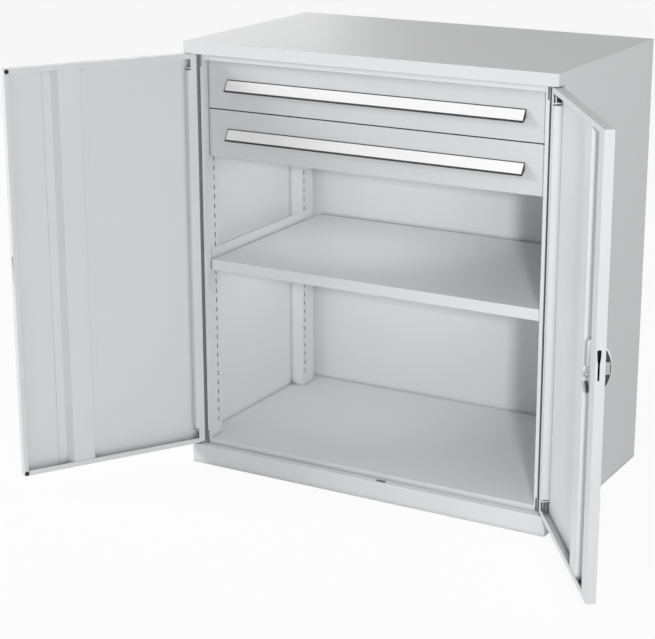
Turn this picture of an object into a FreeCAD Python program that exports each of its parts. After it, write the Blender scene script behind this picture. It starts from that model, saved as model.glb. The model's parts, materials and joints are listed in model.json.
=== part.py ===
import FreeCAD, Part
import math
import os
import re
import Sketcher

# A steel tool cabinet with two swing doors, two drawers under the top and one
# height-adjustable shelf. X runs to the right, Y to the back and Z up. The origin is
# the middle of the flange on which the front of the plinth stands. Everything is drawn as
# it sits with the doors shut, and the doors are then turned open to where they stand.

SIZES = {
    # Carcass: folded and welded sheet
    "cabinet_width": 1000.0,
    "cabinet_depth": 600.0,
    "cabinet_height": 1110.0,
    "wall": 1.5,
    "rail_height": 30.0,
    "sill_depth": 24.0,
    "stop_height": 17.0,
    "plinth_height": 50.0,
    "plinth_return": 20.0,
    "floor_rise": 14.0,
    "side_setback": 36.0,
    "rear_flange": 18.0,
    # Posts: folded channels with a column of hook-in slots
    "post_inset": 40.0,
    "post_strip": 9.0,
    "front_post_depth": 55.0,
    "rear_post_depth": 59.0,
    "rear_post_gap": 38.0,
    "post_notch_height": 34.0,
    "post_notch_width": 4.5,
    "slot_pitch": 25.0,
    "slot_height": 12.5,
    "slot_width": 5.0,
    "first_slot": 107.0,
    "slot_top_margin": 40.0,
    "front_slot_place": 40.0,
    "rear_slot_place": 12.0,
    # Shelf and the two angle rails that carry it
    "shelf_slot_count": 17.0,
    "shelf_lift": 15.5,
    "shelf_edge": 28.0,
    "shelf_hem": 12.0,
    "shelf_front_gap": 16.5,
    "shelf_rear_gap": 5.0,
    "shelf_side_gap": 3.0,
    "carrier_wall": 1.5,
    "carrier_gap": 0.3,
    "carrier_setback": 4.0,
    "carrier_leaf": 18.0,
    "carrier_upstand": 27.5,
    "hook_play": 0.5,
    "hook_reach": 4.0,
    "tab_depth": 40.0,
    "tab_drop": 6.0,
    # Doors: shallow pans with folded edges, each with a hat-shaped stiffener
    "door_depth": 22.0,
    "door_wall": 1.5,
    "door_side_gap": 1.5,
    "door_middle_gap": 4.0,
    "door_end_gap": 2.0,
    "hinge_lip": 24.0,
    "end_lip": 13.0,
    "left_free_lip": 11.0,
    "right_free_lip": 42.0,
    "lip_notch_width": 8.0,
    "lip_notch_height": 27.5,
    "hinge_place": 12.0,
    "hinge_setback": 14.5,
    "left_open_angle": 121.5,
    "right_open_angle": 125.0,
    "hat_wall": 1.2,
    "left_hat_place": 189.5,
    "right_hat_place": 166.5,
    "hat_top": 56.0,
    "hat_slant": 13.0,
    "hat_foot": 21.0,
    "hat_near_slant": 2.0,
    # Pivot hinges in the door corners
    "pin_radius": 4.0,
    "pin_play": 0.05,
    "pin_reach": 9.0,
    "pin_tail": 46.0,
    "pin_head_sides": 6.0,
    "pin_head_radius": 6.0,
    "pin_head_height": 3.0,
    "bush_wall": 2.0,
    "bush_length": 6.0,
    "bush_flange": 2.5,
    "bush_flange_height": 1.7,
    "bracket_wall": 3.0,
    "bracket_place": 37.0,
    "bracket_width": 20.0,
    "bracket_height": 26.0,
    "buffer_radius": 5.5,
    "buffer_height": 1.7,
    "buffer_inset": 6.2,
    # Lock: handle, pinion, two toothed rods and a swinging bolt
    "lock_height": 567.0,
    "backset": 52.2,
    "rod_width": 16.0,
    "rod_wall": 3.0,
    "rod_setback": 9.6,
    "rod_end_gap": 0.5,
    "rod_slot_play": 2.0,
    "rod_tip_share": 0.25,
    "gear_module": 1.5,
    "gear_teeth": 14.0,
    "gear_pressure_angle": 20.0,
    "gear_backlash": 0.3,
    "gear_width": 4.5,
    "gear_root_share": 1.25,
    "rack_tooth_share": 0.75,
    "rack_back": 4.6,
    "rack_above": 7.5,
    "arm_clearance": 2.0,
    "arm_height": 11.0,
    "handle_turn": 90.0,
    "bolt_setback": 14.1,
    "bolt_wall": 3.0,
    "bolt_length": 72.0,
    "bolt_root": 11.0,
    "bolt_tip": 6.0,
    "bolt_slot_top": 53.0,
    "bolt_slot_bottom": 13.0,
    "bolt_slot_narrow": 4.4,
    "bolt_slot_wide": 8.8,
    "bolt_slot_head": 15.0,
    "bolt_slot_taper": 16.0,
    "case_wall": 1.5,
    "case_setback": 20.0,
    "case_play": 1.0,
    "case_above": 59.0,
    "case_below": 58.0,
    "spindle_width": 8.0,
    "spindle_end_gap": 0.6,
    "spindle_socket": 6.0,
    "rose_radius": 17.0,
    "rose_half_height": 48.0,
    "rose_depth": 4.0,
    "neck_radius": 8.0,
    "handle_half_length": 53.0,
    "handle_crown": 20.5,
    "handle_width": 27.0,
    "handle_bevel": 2.0,
    "core_half_length": 49.5,
    "core_crown": 17.5,
    "core_inset": 1.5,
    "boss_height": 15.5,
    "boss_half_length": 13.5,
    "handle_play": 0.3,
    "plug_radius": 10.0,
    "plug_length": 9.0,
    "plug_proud": 0.6,
    "key_slot_width": 1.4,
    "key_slot_length": 7.0,
    "key_slot_depth": 5.0,
    "guide_wall": 2.0,
    "guide_length": 14.0,
    "guide_play": 0.3,
    "guide_place": 44.0,
    "guide_mid_place": 260.0,
    # Drawers and their three-part telescopic runners
    "drawer_setback": 46.0,
    "drawer_top_gap": 2.0,
    "drawer_gap": 3.0,
    "drawer_front_height": 121.0,
    "drawer_side_gap": 1.0,
    "drawer_return": 16.0,
    "drawer_wall": 1.2,
    "tray_depth": 500.0,
    "tray_drop": 30.0,
    "tray_rise": 8.0,
    "tray_hem": 6.0,
    "runner_space": 13.7,
    "runner_wall": 1.5,
    "runner_height": 45.0,
    "runner_play": 0.5,
    "outer_flange": 9.5,
    "middle_flange": 9.5,
    "inner_flange": 8.0,
    "runner_length": 500.0,
    "middle_length": 480.0,
    "inner_length": 490.0,
    "runner_setback": 2.0,
    # Handles: sloping grip with a white label strip and a cap at each end
    "grip_inset": 56.0,
    "grip_drop": 48.0,
    "grip_height": 27.0,
    "grip_reach": 18.0,
    "grip_wall": 1.6,
    "grip_foot": 2.0,
    "grip_heel": 2.4,
    "grip_lip": 5.0,
    "label_wall": 0.8,
    "label_margin": 4.5,
    "cap_wall": 1.5,
    # One overrun serves every cut
    "overrun": 2.0,
}

doc = FreeCAD.newDocument("tool_cabinet")
sheet = doc.addObject("Spreadsheet::Sheet", "Sizes")
for row, (alias, value) in enumerate(SIZES.items(), start=1):
    sheet.set(f"A{row}", alias)
    sheet.set(f"B{row}", str(value))
    sheet.setAlias(f"B{row}", alias)
doc.recompute()

# Places that several pieces share, as sums of the sheet's names
HALF = "(cabinet_width / 2)"
INSIDE = "(cabinet_width / 2 - wall)"
FRONT = "(-plinth_return / 2)"
BACK = f"({FRONT} + cabinet_depth)"
STOP = f"({FRONT} + sill_depth)"
SWING = f"({FRONT} + side_setback)"
RAIL = "(cabinet_height - rail_height)"
CEILING = "(cabinet_height - wall)"
POST = "(cabinet_width / 2 - post_inset)"
FLOOR = "(plinth_height + floor_rise)"
REAR_FACE = f"({BACK} - 2 * wall)"
FRONT_POST_END = f"({STOP} + front_post_depth)"
REAR_POST_END = f"({REAR_FACE} - rear_post_gap)"
REAR_POST = f"({REAR_POST_END} - rear_post_depth)"
FRONT_SLOT = f"({STOP} + front_slot_place)"
REAR_SLOT = f"({REAR_POST} + rear_slot_place)"
SHELF_TOP = "(first_slot + shelf_slot_count * slot_pitch + shelf_lift)"
DOOR_OUT = "(cabinet_width / 2 - door_side_gap)"
DOOR_WIDTH = f"({DOOR_OUT} - door_middle_gap / 2)"
DOOR_TOP = f"({RAIL} - door_end_gap)"
DOOR_FOOT = "(plinth_height + door_end_gap)"
HINGE_X = "(cabinet_width / 2 - hinge_place)"
HINGE_Y = f"({FRONT} + hinge_setback)"
LOCK_X = "(door_middle_gap / 2 + backset)"
PITCH_RADIUS = "(gear_module * gear_teeth / 2)"
RACK_OUT = f"({PITCH_RADIUS} + rack_back + gear_root_share * gear_module)"
DRAWER_FACE = f"({FRONT} + drawer_setback)"
TRAY_HALF = f"({POST} - runner_space)"
GRIP_HALF = f"({POST} - drawer_side_gap - grip_inset)"

pieces = {}


def size(name):
    """Read one number of the sheet."""
    return float(sheet.get(name))


def front_place():
    """Y of the outer face of the shut doors."""
    return -size("plinth_return") / 2


def bound(text):
    """Turn a sum of the sheet's names into an expression on the sheet."""
    return re.sub(r"[a-z][a-z_]*", lambda word: "Sizes." + word.group(0), text)


def new_body(label):
    """Start a sub-part that is built from sketches."""
    body = doc.addObject("PartDesign::Body", label)
    pieces[label] = body
    return body


def sketch_on(body, name, plane, start, loops):
    """Sketch closed loops on an origin plane, with each corner bound to the sheet."""
    sketch = body.newObject("Sketcher::SketchObject", name)
    support = [item for item in body.Origin.OriginFeatures if item.Role == plane + "_Plane"]
    sketch.AttachmentSupport = (support[0], [""])
    sketch.MapMode = "FlatFace"
    sign = "-" if plane == "XZ" else ""
    sketch.setExpression("AttachmentOffset.Base.z", bound(f"{sign}({start})"))
    for loop in loops:
        if loop[0] == "circle":
            add_circle(sketch, *loop[1:])
        else:
            add_polygon(sketch, loop)
    return sketch


def pin_point(sketch, geometry, point, x, y, guess=(1.0, 1.0)):
    """Bind one point of a sketch to two sums of the sheet's names."""
    for kind, text, value in (("DistanceX", x, guess[0]), ("DistanceY", y, guess[1])):
        index = sketch.addConstraint(Sketcher.Constraint(kind, -1, 1, geometry, point, value))
        sketch.setExpression(f"Constraints[{index}]", bound(text))


def add_polygon(sketch, corners):
    """Add a closed polygon, drawn first as a unit ring that the bound corners then pull out."""
    first = sketch.GeometryCount
    count = len(corners)
    ring = []
    for index in range(count):
        angle = 2 * math.pi * index / count
        ring.append(FreeCAD.Vector(math.cos(angle), math.sin(angle), 0))
    for index in range(count):
        sketch.addGeometry(Part.LineSegment(ring[index], ring[(index + 1) % count]), False)
    for index in range(count):
        following = first + (index + 1) % count
        sketch.addConstraint(Sketcher.Constraint("Coincident", first + index, 2, following, 1))
    for index, (x, y) in enumerate(corners):
        pin_point(sketch, first + index, 1, x, y)


def add_circle(sketch, x, y, radius):
    """Add a circle whose centre and radius are bound to the sheet."""
    ring = Part.Circle(FreeCAD.Vector(0, 0, 0), FreeCAD.Vector(0, 0, 1), 1.0)
    geometry = sketch.addGeometry(ring, False)
    pin_point(sketch, geometry, 3, x, y)
    index = sketch.addConstraint(Sketcher.Constraint("Radius", geometry, 1.0))
    sketch.setExpression(f"Constraints[{index}]", bound(radius))


def feature_from(body, kind, name, sketch, length, backwards):
    """Raise or cut a sketch to a length."""
    feature = body.newObject(f"PartDesign::{kind}", name)
    feature.Profile = sketch
    feature.setExpression("Length", bound(length))
    feature.Reversed = backwards
    body.Tip = feature
    return feature


def pad(body, name, plane, start, length, *loops):
    """Raise loops from start along the axis that the plane faces, always the positive way."""
    sketch = sketch_on(body, name + "_outline", plane, start, loops)
    return feature_from(body, "Pad", name, sketch, length, plane == "XZ")


def pocket(body, name, plane, start, length, *loops):
    """Cut loops from start along the axis that the plane faces, always the positive way."""
    sketch = sketch_on(body, name + "_outline", plane, start, loops)
    return feature_from(body, "Pocket", name, sketch, length, plane != "XZ")


def rect(x_low, y_low, x_high, y_high):
    """Four corners of an upright rectangle."""
    return [(x_low, y_low), (x_high, y_low), (x_high, y_high), (x_low, y_high)]


def sided(side, corners):
    """Give corners drawn for the right-hand side to either side."""
    return [(f"{side} * ({x})", y) for x, y in corners]


def span_start(side, low, high):
    """Lower end of a stretch along X that is given for the right-hand side."""
    return low if side > 0 else f"-({high})"


def rise_pattern(body, name, feature, length, count):
    """Repeat a feature upwards."""
    pattern = body.newObject("PartDesign::LinearPattern", name)
    pattern.Originals = [feature]
    axis = [item for item in body.Origin.OriginFeatures if item.Role == "Z_Axis"]
    pattern.Direction = (axis[0], [""])
    pattern.setExpression("Length", bound(length))
    pattern.Occurrences = count
    body.Tip = pattern
    return pattern


def round_bar(name, radius, height, x, y, z):
    """Upright cylinder at a place given by sums of the sheet's names."""
    bar = doc.addObject("Part::Cylinder", name)
    bar.setExpression("Radius", bound(radius))
    bar.setExpression("Height", bound(height))
    bar.setExpression("Placement.Base.x", bound(x))
    bar.setExpression("Placement.Base.y", bound(y))
    bar.setExpression("Placement.Base.z", bound(z))
    return bar


def hexagon(name, radius, height, x, y, z):
    """Upright hexagonal bar at a place given by sums of the sheet's names."""
    bar = doc.addObject("Part::Prism", name)
    bar.Polygon = int(size("pin_head_sides"))
    bar.setExpression("Circumradius", bound(radius))
    bar.setExpression("Height", bound(height))
    bar.setExpression("Placement.Base.x", bound(x))
    bar.setExpression("Placement.Base.y", bound(y))
    bar.setExpression("Placement.Base.z", bound(z))
    return bar


def group(label, members):
    """Keep like pieces together as separate solids of one sub-part."""
    compound = doc.addObject("Part::Compound", label)
    compound.Links = members
    pieces[label] = compound
    return compound


def fused(name, members):
    """Join solids that are one piece of metal."""
    joined = doc.addObject("Part::MultiFuse", name)
    joined.Shapes = members
    return joined


def bored(name, blank, tool):
    """Cut one solid out of another."""
    cut = doc.addObject("Part::Cut", name)
    cut.Base = blank
    cut.Tool = tool
    return cut


SIDES = (("left", -1), ("right", 1))


def side_panel(name, side):
    """Outer side sheet, cut back behind the door edge, with a flange for the back."""
    body = new_body(f"side_panel_{name}")
    outline = [
        (FRONT, "0"),
        (BACK, "0"),
        (BACK, "cabinet_height"),
        (FRONT, "cabinet_height"),
        (FRONT, RAIL),
        (SWING, RAIL),
        (SWING, "plinth_height"),
        (FRONT, "plinth_height"),
    ]
    pad(body, "sheet", "YZ", span_start(side, INSIDE, HALF), "wall", outline)
    flange = sided(side, rect(f"{INSIDE} - rear_flange", f"{BACK} - wall", f"{INSIDE} + wall / 2", BACK))
    pad(body, "flange", "XY", "0", CEILING, flange)


def top_panel():
    """Top sheet folded into the front rail, with a return over the doors and a stop lip."""
    body = new_body("top_panel")
    fold = [
        (BACK, "cabinet_height"),
        (FRONT, "cabinet_height"),
        (FRONT, RAIL),
        (STOP, RAIL),
        (STOP, f"{RAIL} + wall"),
        (f"{FRONT} + wall", f"{RAIL} + wall"),
        (f"{FRONT} + wall", CEILING),
        (BACK, CEILING),
    ]
    pad(body, "fold", "YZ", f"-{INSIDE}", f"2 * {INSIDE}", fold)
    lip = rect(STOP, f"{RAIL} - stop_height", f"{STOP} + wall", f"{RAIL} + wall")
    pad(body, "stop_lip", "YZ", f"-{POST}", f"2 * {POST}", lip)
    hinge_and_rod_holes(body, RAIL)


def hinge_and_rod_holes(body, level):
    """Holes for the two hinge bushes and a slot for the rod in a flange over or under the doors."""
    outer = "pin_radius + pin_play + bush_wall"
    holes = [("circle", f"{side} * {HINGE_X}", HINGE_Y, outer) for _, side in SIDES]
    slot = rect(
        f"{LOCK_X} - rod_width / 2 - rod_slot_play",
        f"{FRONT} + rod_setback - rod_wall / 2 - rod_slot_play / 2",
        f"{LOCK_X} + rod_width / 2 + rod_slot_play",
        f"{FRONT} + rod_setback + rod_wall / 2 + rod_slot_play / 2",
    )
    pocket(body, "flange_holes", "XY", f"{level} - overrun", "wall + 2 * overrun", *holes, slot)


def plinth():
    """Front base: toe sheet, sill under the doors and a return along the floor."""
    body = new_body("plinth")
    fold = [
        (f"{FRONT} + plinth_return", "0"),
        (FRONT, "0"),
        (FRONT, "plinth_height"),
        (STOP, "plinth_height"),
        (STOP, "plinth_height - wall"),
        (f"{FRONT} + wall", "plinth_height - wall"),
        (f"{FRONT} + wall", "wall"),
        (f"{FRONT} + plinth_return", "wall"),
    ]
    pad(body, "fold", "YZ", f"-{INSIDE}", f"2 * {INSIDE}", fold)
    hinge_and_rod_holes(body, "plinth_height - wall")


def floor_panel():
    """Cabinet floor with a down-turned front lip, cut out round the four posts."""
    body = new_body("floor_panel")
    fold = [
        (STOP, "plinth_height"),
        (STOP, FLOOR),
        (REAR_FACE, FLOOR),
        (REAR_FACE, f"{FLOOR} - wall"),
        (f"{STOP} + wall", f"{FLOOR} - wall"),
        (f"{STOP} + wall", "plinth_height"),
    ]
    pad(body, "fold", "YZ", f"-{INSIDE}", f"2 * {INSIDE}", fold)
    notches = []
    for _, side in SIDES:
        notches.append(sided(side, rect(POST, f"{STOP} - overrun", f"{INSIDE} + overrun", FRONT_POST_END)))
        notches.append(sided(side, rect(POST, REAR_POST, f"{INSIDE} + overrun", REAR_POST_END)))
    pocket(body, "post_notches", "XY", "plinth_height - overrun", "floor_rise + 2 * overrun", *notches)


def rear_panel():
    """Back sheet, set in front of the flanges of the side panels."""
    body = new_body("rear_panel")
    pad(body, "sheet", "XZ", REAR_FACE, "wall", rect(f"-{INSIDE}", "0", INSIDE, CEILING))


def slot_count():
    """How many slots fit between the lowest one and the top of a post."""
    room = size("cabinet_height") - size("slot_top_margin") - size("first_slot")
    return int(room / size("slot_pitch")) + 1


def slots(body, side, place):
    """Column of hook-in slots through the inner face of a post."""
    count = slot_count()
    mouth = rect(
        f"{place} - slot_width / 2",
        "first_slot - slot_height / 2",
        f"{place} + slot_width / 2",
        "first_slot + slot_height / 2",
    )
    start = span_start(side, f"{POST} - overrun", f"{POST} + wall + overrun")
    feature = pocket(body, "slot", "YZ", start, "wall + 2 * overrun", mouth)
    rise_pattern(body, "slot_column", feature, f"slot_pitch * {count - 1}", count)


def front_post(name, side):
    """Folded front post: a narrow strip beside the door, a slotted inner face and a hollow back."""
    body = new_body(f"front_post_{name}")
    fold = [
        (INSIDE, SWING),
        (f"{POST} + post_strip", SWING),
        (f"{POST} + post_strip", STOP),
        (POST, STOP),
        (POST, FRONT_POST_END),
        (INSIDE, FRONT_POST_END),
        (INSIDE, f"{FRONT_POST_END} - wall"),
        (f"{POST} + wall", f"{FRONT_POST_END} - wall"),
        (f"{POST} + wall", f"{STOP} + wall"),
        (f"{POST} + post_strip - wall", f"{STOP} + wall"),
        (f"{POST} + post_strip - wall", f"{SWING} + wall"),
        (INSIDE, f"{SWING} + wall"),
    ]
    pad(body, "fold", "XY", "0", CEILING, sided(side, fold))
    low = f"{POST} + post_strip - post_notch_width"
    high = f"{POST} + post_strip + overrun"
    notches = [
        sided(side, rect(low, f"{RAIL} - post_notch_height", high, f"{RAIL} - wall")),
        sided(side, rect(low, "plinth_height + wall", high, "plinth_height + post_notch_height")),
    ]
    pocket(body, "hinge_notches", "XZ", f"{STOP} - overrun", "wall + overrun", *notches)
    slots(body, side, FRONT_SLOT)


def rear_post(name, side):
    """Folded rear post with the matching column of slots."""
    body = new_body(f"rear_post_{name}")
    fold = [
        (INSIDE, REAR_POST),
        (POST, REAR_POST),
        (POST, REAR_POST_END),
        (INSIDE, REAR_POST_END),
        (INSIDE, f"{REAR_POST_END} - wall"),
        (f"{POST} + wall", f"{REAR_POST_END} - wall"),
        (f"{POST} + wall", f"{REAR_POST} + wall"),
        (INSIDE, f"{REAR_POST} + wall"),
    ]
    pad(body, "fold", "XY", "0", CEILING, sided(side, fold))
    slots(body, side, REAR_SLOT)


def shelf():
    """Shelf with a deep hemmed edge front and back, flat between the carriers."""
    body = new_body("shelf")
    front = f"({STOP} + shelf_front_gap)"
    back = f"({REAR_FACE} - shelf_rear_gap)"
    low = f"({SHELF_TOP} - shelf_edge)"
    fold = [
        (f"{front} + shelf_hem", low),
        (front, low),
        (front, SHELF_TOP),
        (back, SHELF_TOP),
        (back, low),
        (f"{back} - shelf_hem", low),
        (f"{back} - shelf_hem", f"{low} + wall"),
        (f"{back} - wall", f"{low} + wall"),
        (f"{back} - wall", f"{SHELF_TOP} - wall"),
        (f"{front} + wall", f"{SHELF_TOP} - wall"),
        (f"{front} + wall", f"{low} + wall"),
        (f"{front} + shelf_hem", f"{low} + wall"),
    ]
    half = f"({POST} - shelf_side_gap)"
    pad(body, "fold", "YZ", f"-{half}", f"2 * {half}", fold)


def shelf_carrier(name, side):
    """Angle rail under one side of the shelf, hooked into a front and a rear slot."""
    body = new_body(f"shelf_carrier_{name}")
    face = f"({POST} - carrier_gap)"
    under = f"({SHELF_TOP} - wall - carrier_wall)"
    front = f"({STOP} + shelf_front_gap + carrier_setback)"
    angle = [
        (face, under),
        (f"{face} - carrier_leaf", under),
        (f"{face} - carrier_leaf", f"{under} + carrier_wall"),
        (f"{face} - carrier_wall", f"{under} + carrier_wall"),
        (f"{face} - carrier_wall", f"{SHELF_TOP} + carrier_upstand"),
        (face, f"{SHELF_TOP} + carrier_upstand"),
    ]
    pad(body, "angle", "XZ", front, f"{REAR_SLOT} + tab_depth / 2 - {front}", sided(side, angle))
    for end, place in (("front", FRONT_SLOT), ("rear", REAR_SLOT)):
        middle = "(first_slot + shelf_slot_count * slot_pitch)"
        drop = f"({middle} - slot_height / 2 - tab_drop)"
        low_place = f"{place} - tab_depth / 2" if end == "front" else f"{place} - slot_width"
        tab = rect(low_place, drop, f"{place} + tab_depth / 2", f"{under} + carrier_wall")
        start = span_start(side, f"{face} - carrier_wall", face)
        pad(body, f"{end}_tab", "YZ", start, "carrier_wall", tab)
        hook = rect(
            f"{place} - slot_width / 2 + hook_play",
            f"{middle} - slot_height / 2 + hook_play",
            f"{place} + slot_width / 2 - hook_play",
            f"{middle} + slot_height / 2 - hook_play",
        )
        start = span_start(side, f"{face} - carrier_wall / 2", f"{POST} + wall + hook_reach")
        length = f"{POST} + wall + hook_reach - {face} + carrier_wall / 2"
        pad(body, f"{end}_hook", "YZ", start, length, hook)


def hinge_bush(name, side, level, down):
    """Nylon bush with a thin flange, pressed into the flange over or under a door."""
    x = f"{side} * {HINGE_X}"
    outer = "pin_radius + pin_play + bush_wall"
    start = f"{level} - bush_length" if down else level
    flange_start = level if down else f"{level} - bush_flange_height"
    stem = round_bar(f"bush_stem_{name}", outer, "bush_length", x, HINGE_Y, start)
    flange = round_bar(
        f"bush_flange_{name}", f"{outer} + bush_flange", "bush_flange_height", x, HINGE_Y, flange_start
    )
    length = "bush_length + bush_flange_height + 2 * overrun"
    bore_start = f"{level} - bush_flange_height - overrun"
    if down:
        bore_start = f"{bore_start} - bush_length"
    bore = round_bar(f"bush_bore_{name}", "pin_radius + pin_play", length, x, HINGE_Y, bore_start)
    return bored(f"bush_{name}", fused(f"bush_blank_{name}", [stem, flange]), bore)


def hinge_bushes():
    """Bushes for the pins above and below each door."""
    upper = [hinge_bush(f"upper_{name}", side, RAIL, False) for name, side in SIDES]
    group("upper_hinge_bushes", upper)
    lower = [hinge_bush(f"lower_{name}", side, "plinth_height", True) for name, side in SIDES]
    group("lower_hinge_bushes", lower)


def door_x(side, place):
    """X of a place measured from the hinge edge of a shut door."""
    return f"{side} * ({DOOR_OUT} - ({place}))"


def door_rect(side, x_low, z_low, x_high, z_high):
    """Rectangle on the face of a door, measured from its hinge edge."""
    return rect(door_x(side, x_low), z_low, door_x(side, x_high), z_high)


def door_pan(name, side, free_lip):
    """Door pan: sheet with folded edges and lips, the hinge lip folded back onto the sheet."""
    body = new_body(f"door_pan_{name}")
    whole = door_rect(side, "0", DOOR_FOOT, DOOR_WIDTH, DOOR_TOP)
    pad(body, "sheet", "XZ", FRONT, "door_wall", whole)
    inner_foot = f"{DOOR_FOOT} + door_wall"
    inner_top = f"{DOOR_TOP} - door_wall"
    hollow = door_rect(side, "door_wall", inner_foot, f"{DOOR_WIDTH} - door_wall", inner_top)
    pad(body, "edges", "XZ", FRONT, "door_depth", whole, hollow)
    window = door_rect(
        side, "hinge_lip", f"{DOOR_FOOT} + end_lip", f"{DOOR_WIDTH} - {free_lip}", f"{DOOR_TOP} - end_lip"
    )
    pad(body, "lips", "XZ", f"{FRONT} + door_depth - door_wall", "door_wall", whole, window)
    foot = f"{DOOR_FOOT} + end_lip"
    top = f"{DOOR_TOP} - end_lip"
    fold_back = door_rect(side, "hinge_lip - door_wall", foot, "hinge_lip", top)
    pad(body, "hinge_fold", "XZ", f"{FRONT} + door_wall / 2", "door_depth - door_wall", fold_back)
    low = "hinge_lip - lip_notch_width"
    high = "hinge_lip + overrun"
    notches = [
        door_rect(side, low, foot, high, f"{foot} + lip_notch_height"),
        door_rect(side, low, f"{top} - lip_notch_height", high, top),
    ]
    pocket(body, "lip_notches", "XZ", f"{FRONT} + door_wall", "door_depth - door_wall + overrun", *notches)
    pin_holes(body, side)
    return body


def pin_holes(body, side):
    """Holes for the hinge pins through the top and bottom edges of a door."""
    hole = ("circle", f"{side} * {HINGE_X}", HINGE_Y, "pin_radius + pin_play")
    through = "door_wall + 2 * overrun"
    pocket(body, "upper_pin_hole", "XY", f"{DOOR_TOP} - door_wall - overrun", through, hole)
    pocket(body, "lower_pin_hole", "XY", f"{DOOR_FOOT} - overrun", through, hole)


def bolt_slot(side):
    """Upright slot in a door's free edge, wide at its head, drawn across the door's depth."""
    middle = f"({FRONT} + bolt_setback)"
    head = "(lock_height + bolt_slot_top)"
    shoulder = f"({head} - bolt_slot_head)"
    waist = f"({shoulder} - bolt_slot_taper)"
    foot = "(lock_height - bolt_slot_bottom)"
    outline = [
        (f"{middle} - bolt_slot_wide / 2", head),
        (f"{middle} - bolt_slot_wide / 2", shoulder),
        (f"{middle} - bolt_slot_narrow / 2", waist),
        (f"{middle} - bolt_slot_narrow / 2", foot),
        (f"{middle} + bolt_slot_narrow / 2", foot),
        (f"{middle} + bolt_slot_narrow / 2", waist),
        (f"{middle} + bolt_slot_wide / 2", shoulder),
        (f"{middle} + bolt_slot_wide / 2", head),
    ]
    edge = "door_middle_gap / 2"
    start = span_start(side, f"{edge} - overrun", f"{edge} + door_wall + overrun")
    return start, outline


def left_door_pan():
    """Passive door: narrow free lip and a slot that takes the bolt of the other door."""
    body = door_pan("left", -1, "left_free_lip")
    start, outline = bolt_slot(-1)
    pocket(body, "bolt_slot", "YZ", start, "door_wall + 2 * overrun", outline)


def right_door_pan():
    """Active door: broad free lip over the lock, slots for the bolt and rods, hole for the spindle."""
    body = door_pan("right", 1, "right_free_lip")
    through = "door_wall + 2 * overrun"
    start, outline = bolt_slot(1)
    pocket(body, "bolt_slot", "YZ", start, through, outline)
    slot = rect(
        f"{LOCK_X} - rod_width / 2 - rod_slot_play / 2",
        f"{FRONT} + rod_setback - rod_wall / 2 - rod_slot_play / 2",
        f"{LOCK_X} + rod_width / 2 + rod_slot_play / 2",
        f"{FRONT} + rod_setback + rod_wall / 2 + rod_slot_play / 2",
    )
    pocket(body, "upper_rod_slot", "XY", f"{DOOR_TOP} - door_wall - overrun", through, slot)
    pocket(body, "lower_rod_slot", "XY", f"{DOOR_FOOT} - overrun", through, slot)
    hole = ("circle", LOCK_X, "lock_height", "neck_radius + handle_play")
    pocket(body, "spindle_hole", "XZ", f"{FRONT} - overrun", through, hole)


def door_stiffener(name, side, place):
    """Hat-shaped stiffener welded inside a door, steep towards the hinge and sloping to the free edge."""
    body = new_body(f"door_stiffener_{name}")
    floor = f"({FRONT} + door_wall)"
    crown = f"({FRONT} + door_depth - door_wall)"
    wall = f"({DOOR_WIDTH} - {place})"
    near = f"({wall} - hat_near_slant)"
    far = f"({wall} + hat_top + hat_slant)"
    outline = [
        (f"{near} - hat_foot", floor),
        (f"{near} + hat_wall", floor),
        (f"{wall} + hat_wall", f"{crown} - hat_wall"),
        (f"{wall} + hat_top - hat_wall", f"{crown} - hat_wall"),
        (f"{far} - hat_wall", floor),
        (f"{far} + hat_foot", floor),
        (f"{far} + hat_foot", f"{floor} + hat_wall"),
        (far, f"{floor} + hat_wall"),
        (f"{wall} + hat_top", crown),
        (wall, crown),
        (near, f"{floor} + hat_wall"),
        (f"{near} - hat_foot", f"{floor} + hat_wall"),
    ]
    corners = [(door_x(side, x), y) for x, y in outline]
    low = f"({DOOR_FOOT} + door_wall)"
    pad(body, "hat", "XY", low, f"{DOOR_TOP} - door_wall - {low}", corners)


def hinge_bracket(name, side, end):
    """Angle inside a door corner that holds the inner end of a hinge pin."""
    body = doc.addObject("PartDesign::Body", f"bracket_{name}_{end}")
    if end == "upper":
        shelf_low = f"({DOOR_TOP} - bracket_place)"
        leg_low = f"({shelf_low} - bracket_height + bracket_wall)"
    else:
        shelf_low = f"({DOOR_FOOT} + bracket_place - bracket_wall)"
        leg_low = shelf_low
    floor = f"({FRONT} + door_wall)"
    deep = f"({FRONT} + door_depth - door_wall)"
    near = door_x(side, "door_wall")
    far = door_x(side, "door_wall + bracket_width")
    pad(body, "plate", "XY", shelf_low, "bracket_wall", rect(near, floor, far, deep))
    leg = rect(near, floor, far, f"{floor} + bracket_wall")
    pad(body, "leg", "XY", leg_low, "bracket_height", leg)
    hole = ("circle", f"{side} * {HINGE_X}", HINGE_Y, "pin_radius")
    pocket(body, "pin_hole", "XY", f"{shelf_low} - overrun", "bracket_wall + 2 * overrun", hole)
    return body


def hinge_pin(name, side, end):
    """Steel pin through the bracket and the door edge into the bush, with a hexagon head at the bracket."""
    x = f"{side} * {HINGE_X}"
    if end == "upper":
        foot = f"({DOOR_TOP} - pin_tail)"
        head_low = f"{DOOR_TOP} - bracket_place - pin_head_height"
    else:
        foot = f"({DOOR_FOOT} - pin_reach)"
        head_low = f"{DOOR_FOOT} + bracket_place"
    shank = round_bar(f"pin_shank_{name}_{end}", "pin_radius", "pin_tail + pin_reach", x, HINGE_Y, foot)
    head = hexagon(f"pin_head_{name}_{end}", "pin_head_radius", "pin_head_height", x, HINGE_Y, head_low)
    return fused(f"pin_{name}_{end}", [shank, head])


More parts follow.
